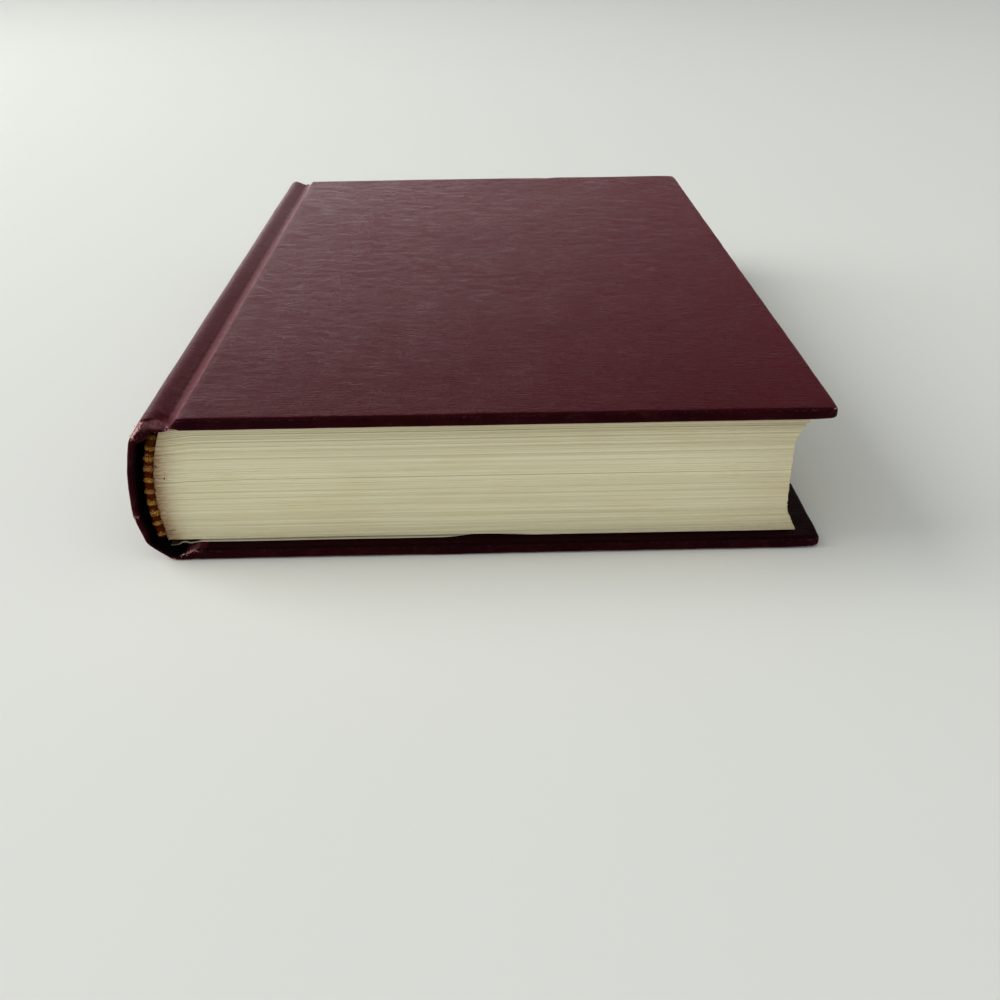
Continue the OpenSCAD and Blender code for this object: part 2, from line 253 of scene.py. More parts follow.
# Materials
class Nodes:
    """A node tree that is put together by short calls."""

    def __init__(self, owner):
        owner.use_nodes = True
        self.tree = owner.node_tree

    def node(self, kind, values=(), **settings):
        made = self.tree.nodes.new("ShaderNode" + kind)
        for key, value in settings.items():
            setattr(made, key, value)
        for key, value in dict(values).items():
            self.put(made.inputs[key], value)
        return made

    def put(self, socket, value):
        if isinstance(value, bpy.types.NodeSocket):
            self.tree.links.new(value, socket)
        else:
            socket.default_value = value

    def stretch(self, vector, scale):
        made = self.node("VectorMath", {0: vector, 1: scale}, operation="MULTIPLY")
        return made.outputs["Vector"]

    def field(self, name):
        return self.node("Attribute", attribute_name=name).outputs["Fac"]

    def noise(self, vector, scale, detail=2.0, roughness=0.5, distortion=0.0):
        if not isinstance(scale, (int, float)):
            vector, scale = self.stretch(vector, scale), 1.0
        names = ("Vector", "Scale", "Detail", "Roughness", "Distortion")
        values = (vector, scale, detail, roughness, distortion)
        return self.node("TexNoise", zip(names, values)).outputs["Fac"]

    def math(self, operation, a, b=0.0, clamp=False):
        made = self.node("Math", {0: a, 1: b}, operation=operation, use_clamp=clamp)
        return made.outputs["Value"]

    def plus(self, a, b):
        return self.math("ADD", a, b)

    def times(self, a, b, clamp=False):
        return self.math("MULTIPLY", a, b, clamp)

    def ramp(self, value, lo, hi, out_lo=0.0, out_hi=1.0, smooth=True):
        names = ("Value", "From Min", "From Max", "To Min", "To Max")
        values = zip(names, (value, lo, hi, out_lo, out_hi))
        kind = "SMOOTHSTEP" if smooth else "LINEAR"
        return self.node("MapRange", values, interpolation_type=kind).outputs["Result"]

    def mix(self, share, a, b):
        made = self.node("Mix", data_type="RGBA")
        for socket, value in zip([made.inputs[0], made.inputs[6], made.inputs[7]], [share, a, b]):
            if isinstance(value, tuple) and len(value) == 3:
                value = (*value, 1.0)
            self.put(socket, value)
        return made.outputs[2]

    def bump(self, height, strength, distance, normal=None):
        values = {"Height": height, "Strength": strength, "Distance": distance * MM}
        if normal is not None:
            values["Normal"] = normal
        return self.node("Bump", values).outputs["Normal"]

    def parts(self, vector):
        made = self.node("SeparateXYZ", {"Vector": vector})
        return made.outputs["X"], made.outputs["Y"], made.outputs["Z"]


class Shade(Nodes):
    """A material with its main shader."""

    def __init__(self, name):
        self.material = bpy.data.materials.new(name)
        super().__init__(self.material)
        self.shader = self.tree.nodes["Principled BSDF"]

    def set(self, **values):
        for key, value in values.items():
            self.put(self.shader.inputs[key.replace("_", " ")], value)

    def paint(self, share, colour):
        """Lays a colour over what has been laid so far."""
        self.colour = self.mix(share, self.colour, colour)

    def place(self, cad=False):
        """The point in millimetres: from the mesh's own attribute, or a CAD node's place."""
        if not cad:
            return self.node("Attribute", attribute_name="rest").outputs["Vector"]
        at = self.node("TexCoord").outputs["Object"]
        return self.stretch(at, (1 / MM, 1 / MM, 1 / MM))


def cloth_material(name, sheen):
    """Maroon book cloth: crosswise slubs, drifting colour, paler grooves that are partly worn and partly
    a painted highlight, worn edges, painted light and painted shade.
    """
    s = Shade(name)
    at = s.place()
    u, y, _ = s.parts(at)
    drift = s.ramp(s.noise(at, 0.028, 2.0, 0.5, 0.6), 0.36, 0.64)
    s.colour = s.mix(drift, (0.0135, 0.0016, 0.0012), (0.0085, 0.0008, 0.0030))
    # Painted light: the cloth is painted a little lighter towards the spine, the side the light comes
    # from, but not on its ends
    end = s.math("ABSOLUTE", y)
    top = s.ramp(end, HALF_H - 0.2, HALF_H - 1.0)
    s.paint(s.times(s.ramp(u, 150.0, -12.0), top), (0.030, 0.0024, 0.0046))
    cloud = s.noise(at, (0.11, 0.34, 0.11), 3.0, 0.6)
    s.paint(s.ramp(cloud, 0.3, 0.72), (0.017, 0.0020, 0.0030))
    slub = s.noise(at, (0.19, 2.9, 0.19), 3.0, 0.62)
    s.paint(s.ramp(slub, 0.52, 0.28, 0.0, 0.85), (0.008, 0.0008, 0.0012))
    s.paint(s.ramp(slub, 0.54, 0.76, 0.0, 0.6), (0.040, 0.0085, 0.011))
    # A paler stripe on the groove's flank towards the board, partly worn and partly a painted highlight
    # where the flank faces the light; the rolled joint ends get the same colour as a painted highlight
    offset = s.math("ABSOLUTE", s.math("SUBTRACT", u, STRIPE_U))
    ragged = s.noise(at, (0.9, 0.35, 0.9), 3.0, 0.6)
    edge = s.plus(offset, s.times(ragged, -1.1))
    stripe = s.times(s.ramp(edge, 1.0, 0.35, 0.0, 0.5), top)
    lit_end_share = s.times(s.field("lit_end"), s.ramp(ragged, 0.3, 0.6, 0.55, 1.0))
    s.paint(s.math("MAXIMUM", stripe, lit_end_share), (0.180, 0.072, 0.082))
    # Rubbed places: worn through in spots where "wear" is high, only dulled where it is low; on the
    # covers this also lays painted highlights along the rounded top edges and on the lower board's ends
    # beside the joint
    spots = s.noise(at, (1.5, 1.5, 1.5), 4.0, 0.68)
    rub = s.plus(s.times(s.field("wear"), 0.62), spots)
    bare = s.ramp(rub, 0.82, 0.98)
    s.paint(s.ramp(rub, 0.60, 0.95, 0.0, 0.5), (0.120, 0.038, 0.044))
    s.paint(bare, (0.60, 0.33, 0.32))
    # A few pale specks with dark rims
    cells = s.node("TexVoronoi", {"Vector": at, "Scale": 0.052, "Randomness": 1.0})
    far = cells.outputs["Distance"]
    s.paint(s.ramp(far, 0.045, 0.026, 0.0, 0.7), (0.010, 0.0015, 0.002))
    s.paint(s.ramp(far, 0.026, 0.014, 0.0, 0.8), (0.30, 0.18, 0.17))
    # Painted shade from the "dark" field: black in the hollow spine, dark on the lower cover where it
    # sticks out from under the leaves
    s.paint(s.field("dark"), (0.0015, 0.0007, 0.0007))
    rough = s.ramp(slub, 0.3, 0.7, 0.24, 0.38, smooth=False)
    rough = s.plus(rough, s.times(bare, 0.3))
    rough = s.plus(rough, s.ramp(cloud, 0.25, 0.75, -0.05, 0.08))
    s.set(Base_Color=s.colour, Roughness=rough)
    s.shader.inputs["IOR"].default_value = 1.058
    s.shader.inputs["Sheen Weight"].default_value = sheen
    s.shader.inputs["Sheen Roughness"].default_value = 0.5
    s.shader.inputs["Sheen Tint"].default_value = (0.90, 0.11, 0.19, 1)
    weft = s.noise(at, (0.75, 5.2, 0.75), 2.0, 0.5)
    warp = s.noise(at, (5.2, 0.75, 5.2), 2.0, 0.5)
    grain = s.bump(s.plus(weft, s.times(warp, 0.55)), 0.5, 0.09)
    flatter_end = s.ramp(end, HALF_H - 0.3, HALF_H - 1.2, 0.3, 0.8)
    s.set(Normal=s.bump(slub, flatter_end, 0.14, grain))
    return s.material


def two_tone(name, noise, edges, tones, roughness):
    """A cloudy mix of two colours, between the given values of a noise with the given settings."""
    s = Shade(name)
    cloud = s.noise(s.place(), *noise)
    s.set(Base_Color=s.mix(s.ramp(cloud, *edges), *tones), Roughness=roughness)
    return s


def hollow_material():
    """The cloth inside the hollow spine, painted black as shade."""
    tones = (0.0016, 0.0010, 0.0009), (0.0045, 0.0020, 0.0020)
    s = two_tone("hollow_shade", ((0.6, 0.6, 0.6), 3.0, 0.6), (0.35, 0.7), tones, 0.9)
    s.shader.inputs["IOR"].default_value = 1.05
    return s.material


def lint_material():
    tones = (0.30, 0.12, 0.13), (0.70, 0.44, 0.42)
    return two_tone("frayed_fibres", (2.2,), (0.35, 0.65), tones, 0.8).material


def mark_material():
    tones = (0.030, 0.016, 0.012), (0.10, 0.05, 0.035)
    return two_tone("page_marks", (3.0,), (0.35, 0.65), tones, 0.7).material


def leaf_material():
    """Cut edges of the leaves: fine lines that follow the leaves, browned near the spine, and painted
    shade along the block's top and bottom.
    """
    s = Shade("leaf_edges")
    at = s.place()
    fine = s.noise(at, (0.012, 0.012, 7.0), 2.0, 0.6)
    broad = s.noise(at, (0.006, 0.006, 0.9), 3.0, 0.6)
    s.colour = s.mix(s.ramp(fine, 0.3, 0.7), (0.70, 0.645, 0.42), (0.89, 0.845, 0.60))
    s.paint(s.ramp(broad, 0.35, 0.65, 0.0, 0.45), (0.88, 0.84, 0.60))
    s.paint(s.ramp(s.field("tone"), 0.0, 1.0, 0.55, 0.0), (0.55, 0.49, 0.30))
    patch = s.noise(at, (0.05, 0.05, 0.16), 3.0, 0.55)
    s.paint(s.ramp(patch, 0.45, 0.75, 0.0, 0.22), (0.66, 0.55, 0.31))
    # One field lays both a brown stain near the spine and painted shade along the top and bottom
    brown = s.noise(at, (0.5, 0.5, 2.6), 3.0, 0.6)
    stain_and_shade_mix = s.times(s.field("stain_and_shade"), s.ramp(brown, 0.25, 0.7, 0.6, 1.0), clamp=True)
    s.paint(stain_and_shade_mix, (0.26, 0.125, 0.045))
    s.set(Base_Color=s.colour, Roughness=0.8)
    s.shader.inputs["IOR"].default_value = 1.3
    s.set(Normal=s.bump(fine, 0.5, 0.05))
    return s.material


def paper_material(name, light, dark):
    """Endpaper: a soft cream sheet with fibres, foxing, and painted shade where it is folded."""
    s = Shade(name)
    at = s.place()
    cloud = s.noise(at, 0.02, 3.0, 0.55)
    s.colour = s.mix(s.ramp(cloud, 0.3, 0.7), light, dark)
    fibre = s.noise(at, (1.4, 4.2, 1.4), 3.0, 0.6)
    s.paint(s.ramp(fibre, 0.62, 0.8, 0.0, 0.18), (0.42, 0.34, 0.22))
    spots = s.noise(at, 0.35, 2.0, 0.5)
    s.paint(s.ramp(spots, 0.70, 0.80, 0.0, 0.5), (0.36, 0.22, 0.10))
    # Painted shade in the joints
    s.paint(s.field("dark"), (0.030, 0.016, 0.010))
    s.set(Base_Color=s.colour, Roughness=0.82)
    s.shader.inputs["IOR"].default_value = 1.35
    s.set(Normal=s.bump(fibre, 0.3, 0.03))
    return s.material


def thread_material():
    """Headband threads: gold and red-brown lumps, fine windings, painted shade between them, on their
    inner and spine sides and towards the top.
    """
    s = Shade("headband_threads")
    at = s.place()
    shade = s.ramp(s.noise(at, (2.6, 2.6, 2.6), 3.0, 0.6), 0.3, 0.7)
    gold = s.mix(shade, (0.17, 0.060, 0.008), (0.50, 0.25, 0.055))
    gold = s.mix(s.times(s.field("rosy"), 0.6), gold, (0.29, 0.095, 0.05))
    red = s.mix(shade, (0.030, 0.0036, 0.0004), (0.105, 0.016, 0.0012))
    wave = s.math("SINE", s.times(s.field("along"), 2 * math.pi))
    soft = s.plus(wave, s.times(s.math("SUBTRACT", shade, 0.5), 1.3))
    s.colour = s.mix(s.ramp(soft, 0.0, 0.8), red, gold)
    # Painted shade in the grooves between the windings and between the lumps
    s.paint(s.ramp(s.field("winding"), 0.5, 0.0, 0.0, 0.85), (0.018, 0.005, 0.002))
    # Painted shade from the "dark" field, made patchy by a noise
    painted_shade = s.noise(at, (1.2, 1.2, 1.2), 3.0, 0.6)
    painted_shade = s.times(s.field("dark"), s.ramp(painted_shade, 0.3, 0.65, 0.5, 1.0), clamp=True)
    s.paint(painted_shade, (0.045, 0.014, 0.004))
    s.set(Base_Color=s.colour, Roughness=0.6)
    s.shader.inputs["IOR"].default_value = 1.08
    return s.material


def plain_fibre(name, light, dark, scale, weave=0.0):
    """Board, lining and gauze: two tones with fibres, and a weave where the piece is woven."""
    s = Shade(name)
    at = s.place(cad=True)
    fibre = s.noise(at, scale, 4.0, 0.65)
    s.colour = s.mix(s.ramp(fibre, 0.3, 0.7), light, dark)
    height = fibre
    if weave:
        x, y, _ = s.parts(at)
        across = s.math("SINE", s.times(x, 2 * math.pi / weave))
        down = s.math("SINE", s.times(y, 2 * math.pi / weave))
        height = s.math("MAXIMUM", across, down)
        s.paint(s.ramp(height, 0.4, -0.4, 0.0, 0.6), (0.30, 0.25, 0.17))
    s.set(Base_Color=s.colour, Roughness=0.85)
    s.set(Normal=s.bump(height, 0.4, 0.08))
    return s.material


def floor_material():
    s = Shade("floor")
    at = s.node("TexCoord").outputs["Object"]
    cloud = s.noise(at, 1.3, 3.0, 0.5)
    colour = s.mix(s.ramp(cloud, 0.3, 0.7), (0.785, 0.80, 0.77), (0.80, 0.812, 0.785))
    s.set(Base_Color=colour, Roughness=0.6)
    s.shader.inputs["IOR"].default_value = 1.06
    s.set(Normal=s.bump(s.noise(at, 60.0, 3.0, 0.5), 0.04, 0.3))
    return s.material


CLOTH = cloth_material("maroon_cloth", 0.18)
# A shaded copy of the cloth, with little sheen, for faces with painted shade
SHADED_CLOTH = cloth_material("shaded_cloth", 0.03)
HOLLOW = hollow_material()
LEAVES = leaf_material()
ENDPAPER = paper_material("endpaper", (0.78, 0.73, 0.57), (0.70, 0.63, 0.45))
THREAD = thread_material()
LINT = lint_material()


# Cloth over the boards
PHI = np.radians([0, 15, 30, 45, 60, 75, 90])
EDGE_ROWS = 7


def joint_dip(u):
    """How far the cloth dips over the upper joint: a long fall, then a short steep rise."""
    fall = ease((u - DIP_FROM) / (HINGE_U - DIP_FROM))
    rise = ease(u / HINGE_U)
    return GROOVE_D * np.where(u < HINGE_U, fall, rise)


def cover_out(u, upper):
    """Height of the cloth's outer face."""
    share = (1 + np.cos(np.pi * (u - HINGE_U) / (GROOVE_W / 2))) / 2
    dip = joint_dip(u) if upper else GROOVE_D * share
    return np.where(u < 0, TOTAL_T - dip, TOTAL_T)


def cover_in(u, upper):
    """Height of the cloth's inner face."""
    rim = TOTAL_T - FLAT_DEPTH - float(joint_dip(-GROOVE_W)) * upper
    return np.interp(u, [-GROOVE_W, HINGE_U, 0], [rim, RIM_Z + 1.2, RIM_Z])


def end_share(y):
    """1 at the very end of the covers, 0 beside the leaves."""
    return ease((np.abs(y) - LEAF_Y - 0.4) / 0.8)


def cover_grid():
    """Columns and rows of the cloth over a board, with the roundings of its three edges."""
    joint = np.linspace(-GROOVE_W, 0, 13)
    flat = np.linspace(0, BOARD_W - TURN_IN, 68)[1:]
    rim = np.linspace(BOARD_W - TURN_IN, BOARD_W - CORNER_R, EDGE_ROWS + 1)[1:]
    round_u = BOARD_W - EDGE_R * (1 - np.sin(PHI))
    us = np.concatenate([joint, flat, rim, round_u])
    phi_u = np.concatenate([np.zeros(len(us) - len(PHI)), PHI])
    inner = np.linspace(-(HALF_H - TURN_IN), HALF_H - TURN_IN, 104)
    edge = np.linspace(HALF_H - TURN_IN, HALF_H - CORNER_R, EDGE_ROWS + 1)[1:]
    ys = np.concatenate([-edge[::-1], inner, edge])
    return us, phi_u, ys


def cover_sheet(upper):
    """Points and faces of the cloth of one cover, built as the upper one."""
    us, phi_u, ys = cover_grid()
    out, low = cover_out(us, upper), cover_in(us, upper)
    roll = ease((-1.9 - us) / 1.1) * upper
    r = np.minimum(EDGE_R, (out - low) / 2)
    r_end = r + (np.minimum(ROLL_R, (ROLL_DEPTH - (1 + END_CUT) * joint_dip(us)) * 0.62) - r) * roll
    ends = HALF_H - r_end * (1 - np.sin(PHI[:, None]))
    yy = np.concatenate([-ends[::-1], ys[:, None] + 0 * us, ends])
    rows, cols = yy.shape
    uu = np.broadcast_to(us, yy.shape)
    phi_v = np.concatenate([PHI[::-1], 0 * ys, PHI])[:, None]
    phi = np.maximum(phi_v, phi_u)
    # Round the corners in plan
    a = 1 - (BOARD_W - uu) / CORNER_R
    b = 1 - (HALF_H - np.abs(yy)) / CORNER_R
    near = (a > 0) & (b > 0)
    share = np.where(near, np.maximum(a, b) / np.maximum(np.hypot(a, b), 1e-9), 1)
    uu = np.where(near, BOARD_W - CORNER_R + CORNER_R * a * share, uu)
    yy = np.where(near, np.sign(yy) * (HALF_H - CORNER_R + CORNER_R * b * share), yy)
    drop = np.where(phi_v > 0, r_end, r) * (1 - np.cos(phi))
    # The rolled end of the spine's cloth reaches into the joint, where the groove is deeper
    end = end_share(yy)
    deep = roll * end * (low - TOTAL_T + ROLL_DEPTH)
    cut = END_CUT * end * joint_dip(us) * upper
    # The lower joint's groove runs out towards its ends
    flat_end = 0.85 * ease((np.abs(yy) - HALF_H + 5.0) / 4.0) * (TOTAL_T - out) * (not upper)
    top = np.stack([uu, yy, out - drop - cut + flat_end], -1)
    bottom = np.stack([uu, yy, low + drop - np.maximum(deep, cut)], -1)
    points = np.concatenate([top.reshape(-1, 3), bottom.reshape(-1, 3)])
    faces = grid_faces(rows, cols)
    size = rows * cols
    # The turned-in cloth leaves a window in the middle
    j_lo = len(PHI) + EDGE_ROWS
    j_hi = rows - 1 - j_lo
    i_hi = int(np.argmin(np.abs(us - (BOARD_W - TURN_IN))))
    for j in range(rows - 1):
        for i in range(cols - 1):
            if j < j_lo or j >= j_hi or i >= i_hi:
                k = size + j * cols + i
                faces.append((k, k + cols, k + cols + 1, k + 1))
    # Walls between the two roundings, but none along the joint, whose quads come last
    faces += rim_faces(rows, cols, 0, size, flip=True)[: 1 - rows]
    used, own = np.unique(faces, return_inverse=True)
    return shape_cover(points[used], upper), own.reshape(-1, 4).tolist()


def shape_cover(p, upper):
    """Wear of the shape: a dent in the upper cover's head edge, worn corners, a soft surface."""
    u, y, z = p.T
    inset = np.minimum(BOARD_W - u, HALF_H - np.abs(y))
    if upper:
        dent = bell(u - DENT_U, 2.4) + 0.65 * bell(u - DENT_U + 7, 4.6)
        reach = np.exp(-((HALF_H - y) / 2.4).clip(0))
        # The board behind is dented only in a short notch, so the cloth keeps in front of it
        notch = DENT_D * (1 - np.abs(u - DENT_U) / (DENT_W / 2)).clip(0)
        y = y - np.minimum(0.9 * dent, 0.20 + 0.85 * notch) * reach
        z = z - 0.18 * dent.clip(0, 1) * reach * (z > RIM_Z + 1.5)
    corner = np.exp(-np.hypot((BOARD_W - u).clip(0), HALF_H - np.abs(y)) / 2.4)
    u = u - 0.08 * corner
    y = y - 0.22 * corner * np.sign(y)
    z = z - corner * np.where(z > RIM_Z + COVER_T / 2, 0.35, -0.25)
    edge = np.exp(-inset.clip(0) / 1.2)
    seed = 11 if upper else 23
    rough = ripple(p, 7.0, seed) * 0.07 + ripple(p, (2.4, 2.4, 5.0), seed + 1) * 0.035
    y = y - np.sign(y) * edge * (0.05 + rough).clip(0) * (HALF_H - np.abs(y) < 3)
    u = np.where(BOARD_W - u < 3, u - edge * (0.05 + rough).clip(0), u)
    face = ease(z - TOTAL_T + 1.3)
    swell = ripple(p, (46, 70, 50), seed + 2) * 0.09 + ripple(p, (13, 21, 20), seed + 3) * 0.03
    z = z + face * (swell - 0.08) * ease((u + GROOVE_W) / 3)
    z = z.clip(None, TOTAL_T)
    made = np.stack([u, y, z], -1)
    if not upper:
        made[:, 2] = TOTAL_T - made[:, 2]
        lift = SPINE_LIFT * ease((HINGE_U - u) / -HINGE_U)
        made[:, 2] += lift * (made[:, 2] < COVER_T / 2)
    return made


def cover_wear_and_highlight(p):
    u, y, z = p.T
    upper = z > TOTAL_T / 2
    end = (HALF_H - np.abs(y)).clip(0)
    inset = np.minimum(BOARD_W - u, end).clip(0)
    edge = np.exp(-inset / 0.5)
    top = TOTAL_T if upper.any() else COVER_T
    # Painted highlight: a lighter line along the rounding of the board's top edge
    rounding = edge * ease((z - top + 1.0) / 0.4)
    corner = np.exp(-np.hypot(BOARD_W - u, end) / 5.0)
    joint = np.exp(-np.abs(u + 2.2) / 1.4) * np.exp(-end / 1.2) * np.where(y < 0, 1.0, 0.7)
    dent = np.exp(-np.hypot((u - DENT_U + 2) / 6, (HALF_H - y) / 1.5)) * upper
    # Painted highlight on the lower board's ends beside the joint
    low = np.exp(-np.hypot((u + 1.2) / 1.6, z - 2.4)) * np.exp(-end / 0.9) * ~upper
    made = 0.24 * rounding + 0.45 * edge * corner + 0.7 * joint * upper + 0.5 * dent + 0.5 * low
    return made.clip(0, 1)


def end_highlight(p):
    """Painted highlight: the upper joint's end, where the cloth rolls over, is painted a paler colour as
    if lit.
    """
    u, y, z = p.T
    end = ease(np.abs(y) - HALF_H + 2.2)
    level = ease(z - TOTAL_T + 2.6) * ease((TOTAL_T - 0.25 - z) / 0.5)
    return 0.85 * end * level * ease((u + 9.2) / 1.5) * ease((-1.2 - u) / 0.8)


def shade_faces(piece, dark, faces):
    """Gives faces with much painted shade materials that shine less: a shaded copy of the cloth, and
    black for the hollow.
    """
    share = dark[np.asarray(faces)].mean(1)
    piece.data.materials.append(SHADED_CLOTH)
    piece.data.materials.append(HOLLOW)
    own = (share > 0.45).astype(int) + (share > 0.75)
    piece.data.polygons.foreach_set("material_index", own)


def square_shade(p):
    """Painted shade on the lower cover, where it sticks out from under the leaves, and along its ends
    towards the fore-edge.
    """
    u, y, z = p.T
    face = ease((z - COVER_T + 0.7) / 0.5) * ease((u + 0.5) / 2.0)
    edge = ease((np.abs(y) - HALF_H + 0.8) / 0.6) * ease((u - 20) / 60)
    return 0.60 * face + 0.30 * edge * (1 - face)


def build_cover(side):
    upper = side == "front"
    points, faces = cover_sheet(upper)
    if not upper:
        faces = [f[::-1] for f in faces]
    dark = square_shade(points) * (not upper)
    fields = {"wear": cover_wear_and_highlight(points), "lit_end": end_highlight(points), "dark": dark}
    piece = make_piece(f"{side}_cloth_sheet", points, faces, CLOTH, **fields)
    shade_faces(piece, dark, faces)
    thicken(piece, CLOTH_T - 0.02)
    bend_at_joint(piece, side)
    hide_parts(f"{side}_cover_cloth")


# Cloth over the spine
SHOULDER_Z = TOTAL_T - 5.1
CREASE_Z = 12.0
# Corners of the outline: how far in from the outermost line, height, radius
SPINE_SHAPE = [
    (5.9, TOTAL_T, 2.3),
    (2.4, SHOULDER_Z, 6.0),
    (0.7, (SHOULDER_Z + CREASE_Z) / 2, 50.0),
    (0.0, CREASE_Z, 2.5),
    (2.1, 4.9, 3.0),
    (7.4, SPINE_LIFT, 3.0),
]


def spine_line():
    """The spine's outline from the upper joint's rim to the lower one's, with even steps."""
    step = 0.55
    corners = [np.array([-GROOVE_W, TOTAL_T])]
    corners += [np.array([c[0] - SPINE_OUT, c[1]]) for c in SPINE_SHAPE]
    corners += [np.array([-GROOVE_W, SPINE_LIFT])]
    path = [corners[0]]
    for k in range(1, len(corners) - 1):
        a, b, c = corners[k - 1 : k + 2]
        radius = SPINE_SHAPE[k - 1][2]
        to_a = (a - b) / np.linalg.norm(a - b)
        to_c = (c - b) / np.linalg.norm(c - b)
        half = math.acos(np.clip(to_a @ to_c, -1, 1)) / 2
        middle = to_a + to_c
        centre = b + middle / np.linalg.norm(middle) * radius / math.sin(half)
        first = b + to_a * radius / math.tan(half) - centre
        start = math.atan2(first[1], first[0])
        for t in np.linspace(start, start + math.pi - 2 * half, 17):
            path.append(centre + radius * np.array([math.cos(t), math.sin(t)]))
    path = np.array([*path, corners[-1]])
    length = np.concatenate([[0], np.cumsum(np.linalg.norm(np.diff(path, axis=0), axis=1))])
    s = np.linspace(0, length[-1], int(length[-1] / step))
    line = walk(path, s, length)
    along = np.gradient(line, axis=0)
    along /= np.linalg.norm(along, axis=1)[:, None]
    inward = np.stack([-along[:, 1], along[:, 0]], -1)
    return s, line, inward


def end_profile(depth, roll, card):
    """Rounded end of the doubled cloth: how far out and how deep, from outside to inside."""
    quarter = np.radians(np.linspace(0, 90, 8))
    full = ROLL_R + (CARD_R - ROLL_R) * card
    r = np.minimum(EDGE_R + (full - EDGE_R) * roll, depth * (0.5 + 0.12 * roll))
    low = np.minimum(EDGE_R, depth - r)
    first = [(r * (1 - np.sin(a)), r * (1 - np.cos(a))) for a in quarter]
    second = [(low * (1 - np.sin(a)), depth - low * (1 - np.cos(a))) for a in quarter[::-1]]
    return first + second


def tucked_strip(edge, level, sign):
    """A strip of the spine's cloth that is tucked under a cover's cloth and closes the seam."""
    u, y, z = edge.T
    depth = np.clip((level - z) * sign, 0.05, FLAT_DEPTH - 0.05)
    y = y - np.sign(y) * 0.04 * (HALF_H - np.abs(y) < 1)
    return np.stack([u + 0.3, y, level - sign * depth], -1)[:, None]


def build_spine():
    s, line, inward = spine_line()
    u, z = line.T
    dip = joint_dip(u) * (u > DIP_FROM) * (z > TOTAL_T / 2)
    card = ease((-5.6 - u) / 1.2) * ease((z - 4.0) / 3.0)
    body = FLAT_DEPTH + (WALL_T - FLAT_DEPTH) * card
    roll = ease((z - SHOULDER_Z + 0.6) / 3.2)
    end = body + (ROLL_DEPTH - (1 + END_CUT) * dip - body) * roll
    # Where the painted shade starts on the way round the cloth's end, and how softly
    lit = 0.38 + 0.54 * roll
    fade_w = 0.95 - 0.67 * roll
    inner = np.linspace(-(HALF_H - 2.0), HALF_H - 2.0, 121)
    turned = [1.4, 2.0, 2.6, 3.2, 5.0, 8.0, TURN_IN]
    lip = []
    for inset, depth in end_profile(end, roll, card):
        lip.append((inset + 0 * s, depth, ease((depth / end - lit) / fade_w)))
    # The cloth turned in inside the hollow is all painted shade
    for t in turned:
        fade = ease((3.1 - t) / 1.1)
        lip.append((t + 0 * s, body + (end - body) * fade, 1 + 0 * s))
    rows = [(t - HALF_H, depth, dark) for t, depth, dark in lip[::-1]]
    rows += [(y + 0 * s, 0 * s, 0 * s) for y in inner]
    rows += [(HALF_H - t, depth, dark) for t, depth, dark in lip]
    y, depth, dark = [np.array(column) for column in zip(*rows)]
    sag = dip * (1 + END_CUT * end_share(y))
    points = np.stack([u + inward[:, 0] * depth, y, z + inward[:, 1] * depth - sag], -1)
    above = tucked_strip(points[:, 0], z[0] - sag[:, 0], 1)
    below = tucked_strip(points[:, -1], z[-1] - sag[:, -1], -1)
    points = np.concatenate([above, points, below], 1)
    dark = np.concatenate([dark[:, :1], dark, dark[:, -1:]], 1)
    flat = shape_spine(points.reshape(-1, 3))
    faces = grid_faces(*dark.shape, flip=True)
    fields = {"wear": spine_wear(flat), "lit_end": end_highlight(flat), "dark": dark}
    piece = make_piece("spine_cloth_sheet", flat, faces, CLOTH, **fields)
    shade_faces(piece, dark.ravel(), faces)
    thicken(piece, CLOTH_T - 0.02)
    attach(piece, "text_block")
    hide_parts("spine_cloth")


def shape_spine(p):
    """Old bruises: a wavy crease, and ends that are a little pushed in."""
    u, y, z = p.T.copy()
    hold = ease((-GROOVE_W - 0.6 - u) / 2.5)
    swell = ripple(p, (16, 34, 12), 31) * 0.10 + ripple(p, (5, 9, 5), 32) * 0.03
    u = u + hold * (swell + 0.10)
    bend = bell(z - CREASE_Z, 1.3) * hold
    u = u + bend * (0.12 + 0.12 * ripple(p, (8, 6, 8), 33)).clip(0)
    end = np.exp(-(HALF_H - np.abs(y)) / 2.0)
    push = bell(z - 33.6, 1.8) * bell(u + 10.4, 2.0)
    lump = 0.5 + 0.5 * ripple(p, 1.6, 35)
    low = bell(z - 0.8, 1.6) * hold
    rough = hold * (0.06 + 0.12 * ripple(p, 3.0, 34)).clip(0)
    y = y - np.sign(y) * end * (0.10 * lump * push + 0.35 * low + rough)
    return np.stack([u, y, z], -1)


def spine_wear(p):
    u, y, z = p.T
    inset = HALF_H - np.abs(y)
    end = np.exp(-inset / 0.8)
    tail = np.where(y < 0, 1.0, 0.75)
    # Along the slope at the end: how far the point is from the worn stretch
    way = ((u - PATCH_U) * PATCH_DU + (z - PATCH_Z) * PATCH_DZ) / (PATCH_DU**2 + PATCH_DZ**2)
    way = way.clip(0, 1)
    off = np.hypot(u - PATCH_U - PATCH_DU * way, z - PATCH_Z - PATCH_DZ * way)
    patch = bell(off, 1.0) * np.exp(-inset / 1.3)
    ridge = bell(np.hypot(u + 8.6, z - 36.0), 0.7)
    slope = bell(np.hypot(u + 11.4, z - 31.8), 1.0)
    crease = bell(z - CREASE_Z, 0.6) * (u < -12)
    foot = bell(np.hypot(u + 6.9, z - 0.3), 1.2)
    made = 0.10 * end + 0.86 * patch * tail + 0.30 * ridge + 0.15 * slope + 0.2 * crease
    made = made + 0.4 * crease * end + 0.2 * foot + 0.4 * foot * end
    return made.clip(0, 1)


# Leaves
def back_u(z):
    """The leaves' rounded back at a height."""
    return BACK_CU - np.sqrt(BACK_R**2 - (z - BACK_CZ) ** 2)


